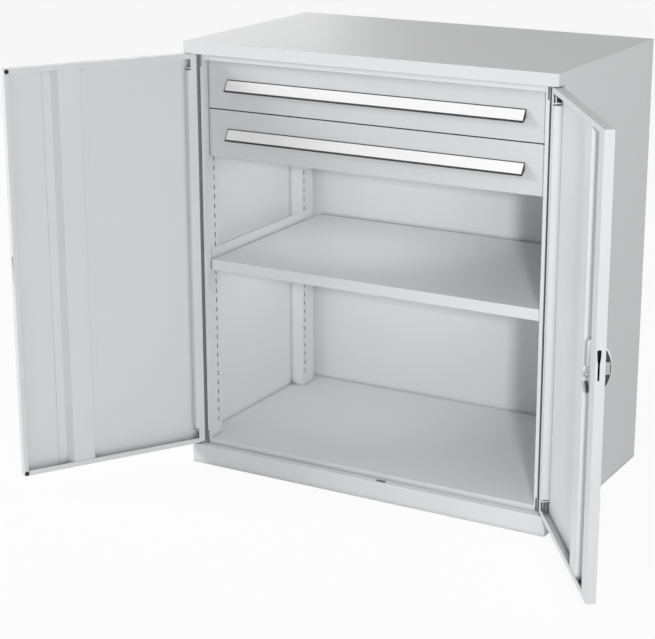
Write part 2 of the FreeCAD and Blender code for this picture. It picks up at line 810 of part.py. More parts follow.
def door_buffers():
    """Rubber buffers in the free corners of the left door."""
    buffers = []
    place = f"(door_middle_gap / 2 + buffer_inset)"
    for end, level in (("upper", f"{DOOR_TOP} - buffer_inset"), ("lower", f"{DOOR_FOOT} + buffer_inset")):
        body = doc.addObject("PartDesign::Body", f"buffer_{end}")
        face = f"({FRONT} + door_depth)"
        disc = ("circle", f"-{place}", level, "buffer_radius")
        pad(body, "disc", "XZ", face, "buffer_height", disc)
        buffers.append(body)
    group("door_buffers", buffers)


def tooth_flank(teeth, module, pressure, backlash):
    """Points of one side of a gear tooth, from root to tip, as radius and angle off the middle."""
    pitch_radius = module * teeth / 2
    base_radius = pitch_radius * math.cos(pressure)
    root_radius = pitch_radius - size("gear_root_share") * module
    tip_radius = pitch_radius + module
    half_tooth = math.pi / (2 * teeth) - backlash / (4 * pitch_radius)
    at_pitch = math.tan(pressure) - pressure
    points = [(root_radius, half_tooth + at_pitch)]
    steps = 3
    start = max(base_radius, root_radius)
    for step in range(steps + 1):
        radius = start + (tip_radius - start) * step / steps
        pressure_here = math.acos(min(1.0, base_radius / radius))
        involute = math.tan(pressure_here) - pressure_here
        points.append((radius, half_tooth + at_pitch - involute))
    return points


def lock_pinion():
    """Toothed wheel on the spindle that drives both rods."""
    teeth = int(size("gear_teeth"))
    pressure = math.radians(size("gear_pressure_angle"))
    flank = tooth_flank(teeth, size("gear_module"), pressure, size("gear_backlash"))
    x_middle = size("door_middle_gap") / 2 + size("backset")
    z_middle = size("lock_height")
    y_face = front_place() + size("rod_setback") - size("gear_width") / 2
    corners = []
    for tooth in range(teeth):
        middle = 2 * math.pi * tooth / teeth
        for radius, off in flank:
            corners.append((radius, middle - off))
        for radius, off in reversed(flank):
            corners.append((radius, middle + off))
    points = []
    for radius, angle in corners:
        x = x_middle + radius * math.cos(angle)
        points.append(FreeCAD.Vector(x, y_face, z_middle + radius * math.sin(angle)))
    points.append(points[0])
    width = FreeCAD.Vector(0, size("gear_width"), 0)
    wheel = Part.Face(Part.makePolygon(points)).extrude(width)
    square = size("spindle_width")
    corner = FreeCAD.Vector(x_middle - square / 2, y_face, z_middle - square / 2)
    hole = Part.makeBox(square, size("gear_width"), square, corner)
    pinion = doc.addObject("Part::Feature", "lock_pinion")
    pinion.Shape = wheel.cut(hole)
    pieces["lock_pinion"] = pinion


def rack_corners():
    """Corners of the toothed edge of a rod, upwards, measured from the middle of the pinion."""
    module = size("gear_module")
    slope = math.tan(math.radians(size("gear_pressure_angle")))
    pitch_radius = module * size("gear_teeth") / 2
    travel = pitch_radius * math.radians(size("handle_turn"))
    pitch = math.pi * module
    root_depth = module * size("gear_root_share")
    root = pitch_radius + root_depth
    tooth = module * size("rack_tooth_share")
    tip = pitch_radius - tooth
    half_pitch = pitch / 4 - size("gear_backlash") / 4
    corners = []
    below = int((travel + size("rack_above")) / pitch)
    count = int((travel + 2 * size("rack_above")) / pitch) + 1
    for index in range(count):
        middle = (index - below) * pitch - pitch / 2
        half_root = half_pitch + root_depth * slope
        half_tip = half_pitch - tooth * slope
        corners.append((root, middle - half_root))
        corners.append((tip, middle - half_tip))
        corners.append((tip, middle + half_tip))
        corners.append((root, middle + half_root))
    return corners


def rod(label, way, far_end):
    """Flat locking rod with an offset toothed leg; way is 1 for the upper rod, -1 for the lower."""
    module = size("gear_module")
    pitch_radius = module * size("gear_teeth") / 2
    half = size("rod_width") / 2
    root = pitch_radius + module * size("gear_root_share")
    out = root + size("rack_back")
    arm_low = pitch_radius + module + size("arm_clearance")
    arm_high = arm_low + size("arm_height")
    tip_taper = half * size("rod_tip_share")
    teeth = rack_corners()
    foot = teeth[0][1] - module
    outline = [(out, foot), (root, foot)]
    outline += teeth
    outline += [(root, arm_low), (-half, arm_low), (-half, far_end - 2 * tip_taper)]
    outline += [(-half + tip_taper, far_end), (half - tip_taper, far_end), (half, far_end - 2 * tip_taper)]
    outline += [(half, arm_high), (out, arm_high)]
    x_middle = size("door_middle_gap") / 2 + size("backset")
    y_face = front_place() + size("rod_setback") - size("rod_wall") / 2
    points = []
    for x, z in outline:
        points.append(FreeCAD.Vector(x_middle + way * x, y_face, size("lock_height") + way * z))
    points.append(points[0])
    bar = doc.addObject("Part::Feature", label)
    bar.Shape = Part.Face(Part.makePolygon(points)).extrude(FreeCAD.Vector(0, size("rod_wall"), 0))
    pieces[label] = bar


def rods():
    """Upper and lower rod, ending just inside the door's ends while the lock is open."""
    door_top = size("cabinet_height") - size("rail_height") - size("door_end_gap")
    door_foot = size("plinth_height") + size("door_end_gap")
    rod("upper_rod", 1, door_top - size("rod_end_gap") - size("lock_height"))
    rod("lower_rod", -1, size("lock_height") - door_foot - size("rod_end_gap"))


def lock_bolt():
    """Swinging bolt on the spindle, upright while the lock is open."""
    body = new_body("lock_bolt")
    back = f"({FRONT} + bolt_setback - bolt_wall / 2)"
    outline = [
        (f"{LOCK_X} - bolt_root", "lock_height - bolt_root / 2"),
        (f"{LOCK_X} - bolt_root / 2", "lock_height - bolt_root"),
        (f"{LOCK_X} + bolt_root / 2", "lock_height - bolt_root"),
        (f"{LOCK_X} + bolt_root", "lock_height - bolt_root / 2"),
        (f"{LOCK_X} + bolt_root", "lock_height + bolt_root / 2"),
        (f"{LOCK_X} + bolt_tip", "lock_height + bolt_length - bolt_tip"),
        (f"{LOCK_X} + bolt_tip / 2", "lock_height + bolt_length"),
        (f"{LOCK_X} - bolt_tip / 2", "lock_height + bolt_length"),
        (f"{LOCK_X} - bolt_tip", "lock_height + bolt_length - bolt_tip"),
        (f"{LOCK_X} - bolt_root", "lock_height + bolt_root / 2"),
    ]
    square = rect(
        f"{LOCK_X} - spindle_width / 2",
        "lock_height - spindle_width / 2",
        f"{LOCK_X} + spindle_width / 2",
        "lock_height + spindle_width / 2",
    )
    pad(body, "plate", "XZ", back, "bolt_wall", outline, square)


def lock_spindle():
    """Square spindle from the handle through the pinion and the bolt."""
    body = new_body("lock_spindle")
    square = rect(
        f"{LOCK_X} - spindle_width / 2",
        "lock_height - spindle_width / 2",
        f"{LOCK_X} + spindle_width / 2",
        "lock_height + spindle_width / 2",
    )
    start = f"({FRONT} - rose_depth - spindle_socket)"
    end = f"({FRONT} + case_setback - case_wall - spindle_end_gap)"
    pad(body, "bar", "XZ", start, f"{end} - {start}", square)


def lock_case():
    """Pressed lock case over the pinion, open towards the free edge where the bolt swings."""
    body = new_body("lock_case")
    half = f"({RACK_OUT} + case_play)"
    low = "(lock_height - case_below)"
    tall = "case_above + case_below"
    cover_low = f"({FRONT} + case_setback - case_wall)"
    floor = f"({FRONT} + door_wall)"
    channel = [
        (f"{LOCK_X} - {half} - case_wall", floor),
        (f"{LOCK_X} - {half}", floor),
        (f"{LOCK_X} - {half}", cover_low),
        (f"{LOCK_X} + {half}", cover_low),
        (f"{LOCK_X} + {half}", floor),
        (f"{LOCK_X} + {half} + case_wall", floor),
        (f"{LOCK_X} + {half} + case_wall", f"{cover_low} + case_wall"),
        (f"{LOCK_X} - {half} - case_wall", f"{cover_low} + case_wall"),
    ]
    pad(body, "channel", "XY", low, tall, channel)
    mouth = rect(
        f"{floor} - overrun",
        "lock_height - bolt_slot_bottom - case_play",
        f"{cover_low} - case_play",
        "lock_height + case_above + overrun",
    )
    pocket(
        body,
        "bolt_mouth",
        "YZ",
        f"{LOCK_X} - {half} - case_wall - overrun",
        "case_wall + 2 * overrun",
        mouth,
    )


def handle_rose():
    """Upright oval rose on the outside of the door that the handle turns in."""
    body = new_body("handle_rose")
    sketch = sketch_on(body, "plate_outline", "XZ", f"{FRONT} - rose_depth", [])
    x_middle = size("door_middle_gap") / 2 + size("backset")
    radius = size("rose_radius")
    corners = []
    for way, sign in ((1, "+"), (-1, "-")):
        z_centre = size("lock_height") + way * (size("rose_half_height") - radius)
        first = FreeCAD.Vector(x_middle + way * radius, z_centre, 0)
        crown = FreeCAD.Vector(x_middle, z_centre + way * radius, 0)
        last = FreeCAD.Vector(x_middle - way * radius, z_centre, 0)
        arc = sketch.addGeometry(Part.ArcOfCircle(first, crown, last), False)
        corners.append((first, last))
        centre = f"lock_height {sign} (rose_half_height - rose_radius)"
        pin_point(sketch, arc, 3, LOCK_X, centre, (x_middle, z_centre))
        index = sketch.addConstraint(Sketcher.Constraint("Radius", arc, radius))
        sketch.setExpression(f"Constraints[{index}]", bound("rose_radius"))
        for point in (1, 2):
            index = sketch.addConstraint(Sketcher.Constraint("DistanceY", -1, 1, arc, point, z_centre))
            sketch.setExpression(f"Constraints[{index}]", bound(centre))
    for arc, other in ((0, 1), (1, 0)):
        line = sketch.addGeometry(Part.LineSegment(corners[arc][1], corners[other][0]), False)
        sketch.addConstraint(Sketcher.Constraint("Coincident", line, 1, arc, 2))
        sketch.addConstraint(Sketcher.Constraint("Coincident", line, 2, other, 1))
    add_circle(sketch, LOCK_X, "lock_height", "neck_radius + pin_play")
    feature_from(body, "Pad", "plate", sketch, "rose_depth", True)


def crown_sketch(body, name, start, half_length, crown):
    """Sketch an arc over its chord, the side view of the handle; both are bound to the sheet."""
    back = f"({FRONT} - rose_depth - handle_play)"
    half = size(half_length)
    rise = size(crown)
    y_back = front_place() - size("rose_depth") - size("handle_play")
    z_middle = size("lock_height")
    top = FreeCAD.Vector(y_back, z_middle + half, 0)
    front = FreeCAD.Vector(y_back - rise, z_middle, 0)
    bottom = FreeCAD.Vector(y_back, z_middle - half, 0)
    sketch = sketch_on(body, name, "YZ", start, [])
    sketch.addGeometry(Part.ArcOfCircle(top, front, bottom), False)
    sketch.addGeometry(Part.LineSegment(bottom, top), False)
    sketch.addConstraint(Sketcher.Constraint("Coincident", 0, 1, 1, 2))
    sketch.addConstraint(Sketcher.Constraint("Coincident", 0, 2, 1, 1))
    pin_point(sketch, 1, 2, back, f"lock_height + {half_length}", (top.x, top.y))
    pin_point(sketch, 1, 1, back, f"lock_height - {half_length}", (bottom.x, bottom.y))
    radius = f"({half_length} * {half_length} + {crown} * {crown}) / (2 * {crown})"
    index = sketch.addConstraint(Sketcher.Constraint("Radius", 0, (half * half + rise * rise) / (2 * rise)))
    sketch.setExpression(f"Constraints[{index}]", bound(radius))
    return sketch


def crown_feature(body, kind, name, start, length, half_length, crown):
    """Raise or cut the arc sketch across the handle."""
    sketch = crown_sketch(body, f"{name}_outline", start, half_length, crown)
    return feature_from(body, kind, name, sketch, length, kind == "Pocket")


def plug_bore(body):
    """Bore for the key plug, from the front of the handle to the plug's inner end."""
    face = f"({FRONT} - rose_depth - handle_play - handle_crown)"
    bore = ("circle", LOCK_X, "lock_height", "plug_radius + pin_play")
    pocket(body, "plug_bore", "XZ", f"{face} - overrun", "overrun + plug_length - plug_proud", bore)


def boss_square(overlap):
    """Outline of the boss, seen from the front of the door."""
    half = f"(handle_width / 2 + {overlap})"
    return rect(
        f"{LOCK_X} - {half}", "lock_height - boss_half_length", f"{LOCK_X} + {half}", "lock_height + boss_half_length"
    )


def turn_handle():
    """Grip of the handle: a crowned bar, cut out behind for the boss."""
    body = new_body("turn_handle")
    half = "(handle_width / 2 - core_inset)"
    start = f"{LOCK_X} - {half}"
    crown_feature(body, "Pad", "core", start, f"2 * {half}", "core_half_length", "core_crown")
    back = f"({FRONT} - rose_depth - handle_play)"
    pocket(body, "boss_seat", "XZ", f"{back} - boss_height", "boss_height + overrun", boss_square("overrun"))
    plug_bore(body)


def handle_cover():
    """Bowed plate over the front of the grip, bevelled along its long edges and bored for the key plug."""
    body = new_body("handle_cover")
    start = f"{LOCK_X} - handle_width / 2"
    bow = crown_feature(body, "Pad", "bow", start, "handle_width", "handle_half_length", "handle_crown")
    doc.recompute()
    long_edges = []
    for number, edge in enumerate(bow.Shape.Edges, start=1):
        if edge.Curve.TypeId == "Part::GeomCircle":
            long_edges.append(f"Edge{number}")
    bevel = body.newObject("PartDesign::Chamfer", "bow_bevel")
    bevel.Base = (bow, long_edges)
    bevel.setExpression("Size", bound("handle_bevel"))
    body.Tip = bevel
    width = "handle_width + 2 * overrun"
    crown_feature(body, "Pocket", "hollow", f"{start} - overrun", width, "core_half_length", "core_crown")
    plug_bore(body)


def handle_boss():
    """Metal boss in the middle of the handle, with the neck in the rose and the socket for the spindle."""
    body = new_body("handle_boss")
    back = f"({FRONT} - rose_depth - handle_play)"
    pad(body, "block", "XZ", f"{back} - boss_height", "boss_height", boss_square("0"))
    neck = ("circle", LOCK_X, "lock_height", "neck_radius")
    pad(body, "neck", "XZ", back, "handle_play + rose_depth + door_wall", neck)
    square = rect(
        f"{LOCK_X} - spindle_width / 2",
        "lock_height - spindle_width / 2",
        f"{LOCK_X} + spindle_width / 2",
        "lock_height + spindle_width / 2",
    )
    socket = f"({FRONT} - rose_depth - spindle_socket)"
    pocket(body, "socket", "XZ", socket, "spindle_socket + rose_depth + door_wall + overrun", square)
    plug_bore(body)


def lock_plug():
    """Round key plug in the middle of the handle, with a slot for the key."""
    body = new_body("lock_plug")
    face = f"({FRONT} - rose_depth - handle_play - handle_crown - plug_proud)"
    disc = ("circle", LOCK_X, "lock_height", "plug_radius")
    pad(body, "barrel", "XZ", face, "plug_length", disc)
    slot = rect(
        f"{LOCK_X} - key_slot_width / 2",
        "lock_height - key_slot_length / 2",
        f"{LOCK_X} + key_slot_width / 2",
        "lock_height + key_slot_length / 2",
    )
    pocket(body, "key_slot", "XZ", f"{face} - overrun", "key_slot_depth + overrun", slot)


def rod_guides():
    """Nylon guides that hold the rods off the door sheet."""
    guides = []
    levels = (
        ("top", f"{DOOR_TOP} - guide_place - guide_length"),
        ("high", "lock_height + guide_mid_place"),
        ("low", "lock_height - guide_mid_place - guide_length"),
        ("foot", f"{DOOR_FOOT} + guide_place"),
    )
    middle = f"({FRONT} + rod_setback)"
    for end, level in levels:
        body = doc.addObject("PartDesign::Body", f"guide_{end}")
        block = rect(
            f"{LOCK_X} - rod_width / 2 - guide_play - guide_wall",
            f"{FRONT} + door_wall",
            f"{LOCK_X} + rod_width / 2 + guide_play + guide_wall",
            f"{middle} + rod_wall / 2 + guide_play + guide_wall",
        )
        channel = rect(
            f"{LOCK_X} - rod_width / 2 - guide_play",
            f"{middle} - rod_wall / 2 - guide_play",
            f"{LOCK_X} + rod_width / 2 + guide_play",
            f"{middle} + rod_wall / 2 + guide_play",
        )
        pad(body, "block", "XY", level, "guide_length", block, channel)
        guides.append(body)
    group("rod_guides", guides)


def drawer_top(level):
    """Top of a drawer's front; level 0 is the upper drawer."""
    below = f"{level} * (drawer_front_height + drawer_gap)"
    return f"({RAIL} - stop_height - drawer_top_gap - {below})"


def drawer_front(name, level):
    """Drawer front: a shallow folded pan between the posts."""
    body = new_body(f"drawer_front_{name}")
    half = f"({POST} - drawer_side_gap)"
    top = drawer_top(level)
    low = f"({top} - drawer_front_height)"
    whole = rect(f"-{half}", low, half, top)
    inner = f"({half} - drawer_wall)"
    hollow = rect(f"-{inner}", f"{low} + drawer_wall", inner, f"{top} - drawer_wall")
    pad(body, "face", "XZ", DRAWER_FACE, "drawer_wall", whole)
    pad(body, "returns", "XZ", DRAWER_FACE, "drawer_return", whole, hollow)


def drawer_tray(name, level):
    """Open drawer tray of bent sheet with rolled top edges."""
    body = new_body(f"drawer_tray_{name}")
    low = f"({drawer_top(level)} - drawer_front_height + tray_rise)"
    high = f"({drawer_top(level)} - tray_drop)"
    front = f"({DRAWER_FACE} + drawer_wall)"
    back = f"({front} + tray_depth)"
    whole = rect(f"-{TRAY_HALF}", front, TRAY_HALF, back)
    inner = f"({TRAY_HALF} - drawer_wall)"
    hollow = rect(f"-{inner}", f"{front} + drawer_wall", inner, f"{back} - drawer_wall")
    pad(body, "bottom", "XY", low, "drawer_wall", whole)
    pad(body, "walls", "XY", low, f"{high} - {low}", whole, hollow)
    mouth_half = f"({TRAY_HALF} - tray_hem)"
    mouth = rect(f"-{mouth_half}", f"{front} + tray_hem", mouth_half, f"{back} - tray_hem")
    pad(body, "hem", "XY", f"{high} - drawer_wall", "drawer_wall", whole, mouth)


def runner_middle_height(level):
    """Height of a drawer's runners: halfway up its tray."""
    top = drawer_top(level)
    return f"({top} - drawer_front_height / 2 - tray_drop / 2 + tray_rise / 2)"


def runner(label, side, level, web, inward, flange, half_height, front, length):
    """One channel of a runner. Its flanges point inwards or outwards from the web."""
    body = new_body(label)
    way = -1 if inward else 1
    middle = runner_middle_height(level)
    outline = [
        (web, f"{middle} - {half_height}"),
        (f"{web} + {way} * {flange}", f"{middle} - {half_height}"),
        (f"{web} + {way} * {flange}", f"{middle} - {half_height} + runner_wall"),
        (f"{web} + {way} * runner_wall", f"{middle} - {half_height} + runner_wall"),
        (f"{web} + {way} * runner_wall", f"{middle} + {half_height} - runner_wall"),
        (f"{web} + {way} * {flange}", f"{middle} + {half_height} - runner_wall"),
        (f"{web} + {way} * {flange}", f"{middle} + {half_height}"),
        (web, f"{middle} + {half_height}"),
    ]
    pad(body, "channel", "XZ", front, length, sided(side, outline))


def runners(name, level):
    """Telescopic runners of one drawer: cabinet, middle and drawer channels, left and right."""
    front = f"({DRAWER_FACE} + drawer_return + runner_setback)"
    half = "(runner_height / 2)"
    middle_half = "(runner_height / 2 - runner_wall - runner_play)"
    inner_half = "(runner_height / 2 - 2 * runner_wall - 2 * runner_play)"
    web = f"({POST} - runner_wall - runner_play)"
    channels = (
        ("outer", POST, True, half, "runner_length"),
        ("middle", web, True, middle_half, "middle_length"),
        ("inner", TRAY_HALF, False, inner_half, "inner_length"),
    )
    for end, side in SIDES:
        for kind, face, inward, half_height, length in channels:
            label = f"runner_{kind}_{name}_{end}"
            runner(label, side, level, face, inward, f"{kind}_flange", half_height, front, length)


def grip(name, level):
    """Sloping full-width grip on a drawer front, with a foot, a hooked lower lip and a label strip."""
    body = new_body(f"handle_rail_{name}")
    top = f"({drawer_top(level)} - grip_drop)"
    low = f"({top} - grip_height)"
    face = DRAWER_FACE
    tip = f"({face} - grip_reach)"
    fold = [
        (face, f"{top} + grip_foot"),
        (f"{face} - grip_wall", f"{top} + grip_foot"),
        (f"{face} - grip_wall", top),
        (tip, low),
        (f"{tip} + grip_lip", low),
        (f"{tip} + grip_lip", f"{low} + grip_wall"),
        (f"{tip} + grip_heel", f"{low} + grip_wall"),
        (face, f"{top} - grip_wall"),
    ]
    pad(body, "fold", "YZ", f"cap_wall - {GRIP_HALF}", f"2 * ({GRIP_HALF} - cap_wall)", fold)


def label_strip(name, level):
    """White label strip on the sloping face of a grip, ending a margin above its tip."""
    body = new_body(f"label_strip_{name}")
    top = f"({drawer_top(level)} - grip_drop)"
    low = f"({top} - grip_height)"
    root = f"({DRAWER_FACE} - grip_wall)"
    foot = f"({DRAWER_FACE} - grip_reach + label_margin * (grip_reach - grip_wall) / grip_height)"
    strip = [
        (root, top),
        (f"{root} - label_wall", top),
        (f"{foot} - label_wall", f"{low} + label_margin"),
        (foot, f"{low} + label_margin"),
    ]
    pad(body, "strip", "YZ", f"cap_wall - {GRIP_HALF}", f"2 * ({GRIP_HALF} - cap_wall)", strip)


def handle_caps(name, level):
    """Two thin caps that close the ends of a grip."""
    caps = []
    top = f"({drawer_top(level)} - grip_drop)"
    low = f"({top} - grip_height)"
    tip = f"({DRAWER_FACE} - grip_reach)"
    outline = [
        (DRAWER_FACE, f"{top} + grip_foot"),
        (f"{DRAWER_FACE} - grip_wall - label_wall", f"{top} + grip_foot"),
        (f"{DRAWER_FACE} - grip_wall - label_wall", top),
        (f"{tip} - label_wall", low),
        (f"{tip} + grip_lip", low),
        (DRAWER_FACE, f"{top} - grip_reach"),
    ]
    for end, side in SIDES:
        body = doc.addObject("PartDesign::Body", f"cap_{name}_{end}")
        start = span_start(side, f"{GRIP_HALF} - cap_wall", GRIP_HALF)
        pad(body, "cap", "YZ", start, "cap_wall", outline)
        caps.append(body)
    group(f"handle_caps_{name}", caps)


def swing_open(label, side, angle):
    """Turn a piece of a door about its hinge pins."""
    x = side * (size("cabinet_width") / 2 - size("hinge_place"))
    y = front_place() + size("hinge_setback")
    turn = FreeCAD.Rotation(FreeCAD.Vector(0, 0, 1), side * angle)
    centre = FreeCAD.Vector(x, y, 0)
    pieces[label].Placement = FreeCAD.Placement(FreeCAD.Vector(0, 0, 0), turn, centre)


def build():
    """Build every sub-part, then turn both doors open."""
    for name, side in SIDES:
        side_panel(name, side)
        front_post(name, side)
        rear_post(name, side)
        shelf_carrier(name, side)
    top_panel()
    plinth()
    floor_panel()
    rear_panel()
    hinge_bushes()
    shelf()
    for level, name in enumerate(("upper", "lower")):
        runners(name, level)
        drawer_tray(name, level)
        drawer_front(name, level)
        grip(name, level)
        label_strip(name, level)
        handle_caps(name, level)
    left_door_pan()
    right_door_pan()
    for name, side in SIDES:
        door_stiffener(name, side, f"{name}_hat_place")
        group(f"hinge_brackets_{name}", [hinge_bracket(name, side, end) for end in ("upper", "lower")])
        group(f"hinge_pins_{name}", [hinge_pin(name, side, end) for end in ("upper", "lower")])
    door_buffers()
    lock_case()
    handle_rose()
    turn_handle()
    handle_cover()
    handle_boss()
    lock_spindle()
    lock_pinion()
    lock_bolt()
    lock_plug()
    rods()
    rod_guides()
    for name, side in SIDES:
        for label in ("door_pan", "door_stiffener", "hinge_brackets", "hinge_pins"):
            swing_open(f"{label}_{name}", side, size(f"{name}_open_angle"))
    swing_open("door_buffers", -1, size("left_open_angle"))
    for label in ("turn_handle", "handle_cover", "handle_boss", "handle_rose", "lock_case", "rod_guides"):
        swing_open(label, 1, size("right_open_angle"))
    for label in ("lock_spindle", "lock_pinion", "lock_bolt", "lock_plug", "upper_rod", "lower_rod"):
        swing_open(label, 1, size("right_open_angle"))
    doc.recompute()


def check_and_write():
    """Refuse a failed object or an empty cut, then write one file for each sub-part."""
    for item in doc.Objects:
        if "Invalid" in item.State or "Error" in item.State:
            raise RuntimeError(f"{item.Name} failed: {item.State}")
        if item.TypeId == "PartDesign::Pocket" and item.BaseFeature.Shape.Volume <= item.Shape.Volume:
            raise RuntimeError(f"{item.Name} cut nothing")
    os.makedirs("parts", exist_ok=True)
    for label, piece in pieces.items():
        shape = piece.Shape
        if shape.isNull() or not shape.isValid():
            raise RuntimeError(f"{label} has no valid shape")
        shape.exportStep(f"parts/{label}.step")
        print(label, len(shape.Solids), "solids, volume", round(shape.Volume), "mm3")


build()
check_and_write()
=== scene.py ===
import json
import math

import bmesh
import bpy
from mathutils import Matrix, Vector


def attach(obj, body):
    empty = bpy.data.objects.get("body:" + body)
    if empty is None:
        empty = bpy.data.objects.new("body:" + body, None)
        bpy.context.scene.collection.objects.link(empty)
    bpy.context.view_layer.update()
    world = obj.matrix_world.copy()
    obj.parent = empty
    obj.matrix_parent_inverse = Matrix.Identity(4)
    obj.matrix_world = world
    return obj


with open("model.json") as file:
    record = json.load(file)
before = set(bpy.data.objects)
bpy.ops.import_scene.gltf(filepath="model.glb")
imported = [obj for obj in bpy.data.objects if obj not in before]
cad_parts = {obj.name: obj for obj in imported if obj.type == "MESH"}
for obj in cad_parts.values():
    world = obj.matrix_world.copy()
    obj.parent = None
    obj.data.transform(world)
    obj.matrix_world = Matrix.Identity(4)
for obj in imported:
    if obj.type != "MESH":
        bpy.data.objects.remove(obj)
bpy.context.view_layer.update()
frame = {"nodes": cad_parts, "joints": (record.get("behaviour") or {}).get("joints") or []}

BUILD = frame["nodes"]


# Carcass: folded steel sheet, spot welded and powder coated in light grey with a fine,
# even grain. Along the folds the coat is painted paler in patches, partly rubbing wear and
# partly a painted highlight on the folds, and it is rubbed smoother where hands and cases pass.
COAT = (0.700, 0.706, 0.714, 1.0)


class Link:
    """One output of a material's nodes.

    Sums, differences and products of links and numbers add the Math nodes they need.
    """

    def __init__(self, tree, socket=None):
        self.tree = tree
        self.socket = socket

    def node(self, kind, settings=None, sockets=None, outlet=0):
        """Add a node, set it up, join its sockets and give back one of its outputs."""
        made = self.tree.nodes.new(kind)
        for name, value in (settings or {}).items():
            setattr(made, name, value)
        for name, value in (sockets or {}).items():
            if isinstance(value, Link):
                self.tree.links.new(value.socket, made.inputs[name])
            else:
                made.inputs[name].default_value = value
        return Link(self.tree, made.outputs[outlet])

    def maths(self, operation, *values):
        """Result of one Math node on links and numbers."""
        return self.node("ShaderNodeMath", {"operation": operation}, dict(enumerate(values)))

    def __add__(self, other):
        return self.maths("ADD", self, other)

    __radd__ = __add__

    def __sub__(self, other):
        return self.maths("SUBTRACT", self, other)

    def __rsub__(self, other):
        return self.maths("SUBTRACT", other, self)

    def __mul__(self, other):
        return self.maths("MULTIPLY", self, other)

    __rmul__ = __mul__

    def clamped(self):
        """The same values, held between 0 and 1."""
        return self.node("ShaderNodeClamp", None, {"Value": self})

    def blend(self, low, high):
        """Colour from low to high, each a colour or a link, as this link runs from 0 to 1."""
        colours = {0: self, 6: low, 7: high}
        return self.node("ShaderNodeMix", {"data_type": "RGBA"}, colours, 2)


def new_material(name):
    """Start a material and give back its shader and a link from which its nodes are written."""
    material = bpy.data.materials.new(name)
    material.use_nodes = True
    shader = material.node_tree.nodes["Principled BSDF"]
    return material, shader, Link(material.node_tree)


CLOUD_DETAIL = 3.0


def noise(start, scale, detail=CLOUD_DETAIL):
    """Cloudy pattern fixed to the piece, from 0 to 1."""
    place = start.node("ShaderNodeTexCoord", None, None, "Object")
    pattern = {"Vector": place, "Scale": scale, "Detail": detail}
    return start.node("ShaderNodeTexNoise", None, pattern)


EDGE_SAMPLES = 6
FOLD_RADIUS = 0.0007
FOLD_GAIN = 4.0


def folds(start, radius):
    """Rounded normal at the edges, and a mask that is 1 on the edges and 0 on flat sheet."""
    rounded = start.node("ShaderNodeBevel", {"samples": EDGE_SAMPLES}, {"Radius": radius})
    flat = start.node("ShaderNodeNewGeometry", None, None, "Normal")
    ways = {0: rounded, 1: flat}
    along = start.node("ShaderNodeVectorMath", {"operation": "DOT_PRODUCT"}, ways, "Value")
    return rounded, ((1.0 - along) * FOLD_GAIN).clamped()


GAP_SHADE_REACH = 0.024
GAP_SHADE_START = 0.66
GAP_SHADE_GAIN = 2.4


def painted_gap_shade(start):
    """Mask of painted shade, 1 in narrow gaps and under folds where shade falls and 0 in the open.
    """
    samples, around = {"samples": EDGE_SAMPLES}, {"Distance": GAP_SHADE_REACH}
    open_share = start.node("ShaderNodeAmbientOcclusion", samples, around, "AO")
    return ((GAP_SHADE_START - open_share) * GAP_SHADE_GAIN).clamped()


def relief(height, strength, depth, rounded=None):
    """Normal of a fine relief, laid over the rounded normal where one is given."""
    sockets = {"Strength": strength, "Distance": depth, "Height": height}
    if rounded:
        sockets["Normal"] = rounded
    return height.node("ShaderNodeBump", None, sockets)


def join(shader, **links):
    """Feed links to the shader's sockets of those names."""
    tree = shader.id_data
    for name, link in links.items():
        tree.links.new(link.socket, shader.inputs[name.replace("_", " ")])


def tinted(colour, share):
    """The colour, lighter or darker by a share."""
    return tuple(min(1.0, part * (1.0 + share)) for part in colour[:3]) + (1.0,)


COAT_ROUGHNESS = 0.46
COAT_CLOUDS = 2.2
COAT_CLOUDINESS = 0.022
RUB_MARKS = 9.0
RUB_DETAIL = 5.0
RUB_SPREAD = 0.10
FOLD_HIGHLIGHT_PALER = 0.10
FOLD_SMOOTHER = 0.08
GAP_SHADE_DARKER = 0.72
PEEL_GRAIN = 1500.0
PEEL_DETAIL = 1.0
PEEL_STRENGTH = 0.35
PEEL_DEPTH = 0.00004


def powder_coat(name, colour, roughness=COAT_ROUGHNESS):
    """Powder coat: cloudy by a percent or two, fine orange peel, smooth edges with a painted
    highlight, painted shade in the gaps.
    """
    material, shader, start = new_material(name)
    rounded, edge = folds(start, FOLD_RADIUS)
    cloud = noise(start, COAT_CLOUDS)
    rubbed = noise(start, RUB_MARKS, RUB_DETAIL)
    body = cloud.blend(tinted(colour, -COAT_CLOUDINESS), tinted(colour, COAT_CLOUDINESS))
    # Edges are painted paler where the rubbing noise runs high: wear, and a painted highlight.
    wear_and_highlight = (edge * rubbed).clamped()
    coat = wear_and_highlight.blend(body, tinted(colour, FOLD_HIGHLIGHT_PALER))
    # Narrow gaps and the hollows under folds are painted darker: painted shade.
    coat = painted_gap_shade(start).blend(coat, tinted(colour, -GAP_SHADE_DARKER))
    peel = relief(noise(start, PEEL_GRAIN, PEEL_DETAIL), PEEL_STRENGTH, PEEL_DEPTH, rounded)
    dull = rubbed * RUB_SPREAD + (roughness - RUB_SPREAD / 2) - edge * FOLD_SMOOTHER
    join(shader, Base_Color=coat, Roughness=dull, Normal=peel)
    return material


def dress(material, *names):
    """Put a material on CAD nodes."""
    for name in names:
        piece = BUILD[name]
        if not piece.material_slots:
            piece.data.materials.append(material)
        for holder in piece.material_slots:
            holder.material = material


coat = powder_coat("light_grey_coat", COAT)
dress(coat, "side_panel_left", "side_panel_right", "rear_panel")
dress(coat, "top_panel", "plinth", "floor_panel")


# Posts: folded strips with a column of punched slots, welded in the carcass's corners.
# They are coated after punching, a trace darker than the sheets.
POST_DARKER = 0.01
post_coat = powder_coat("post_coat", tinted(COAT, -POST_DARKER))
dress(post_coat, "front_post_left", "front_post_right", "rear_post_left", "rear_post_right")


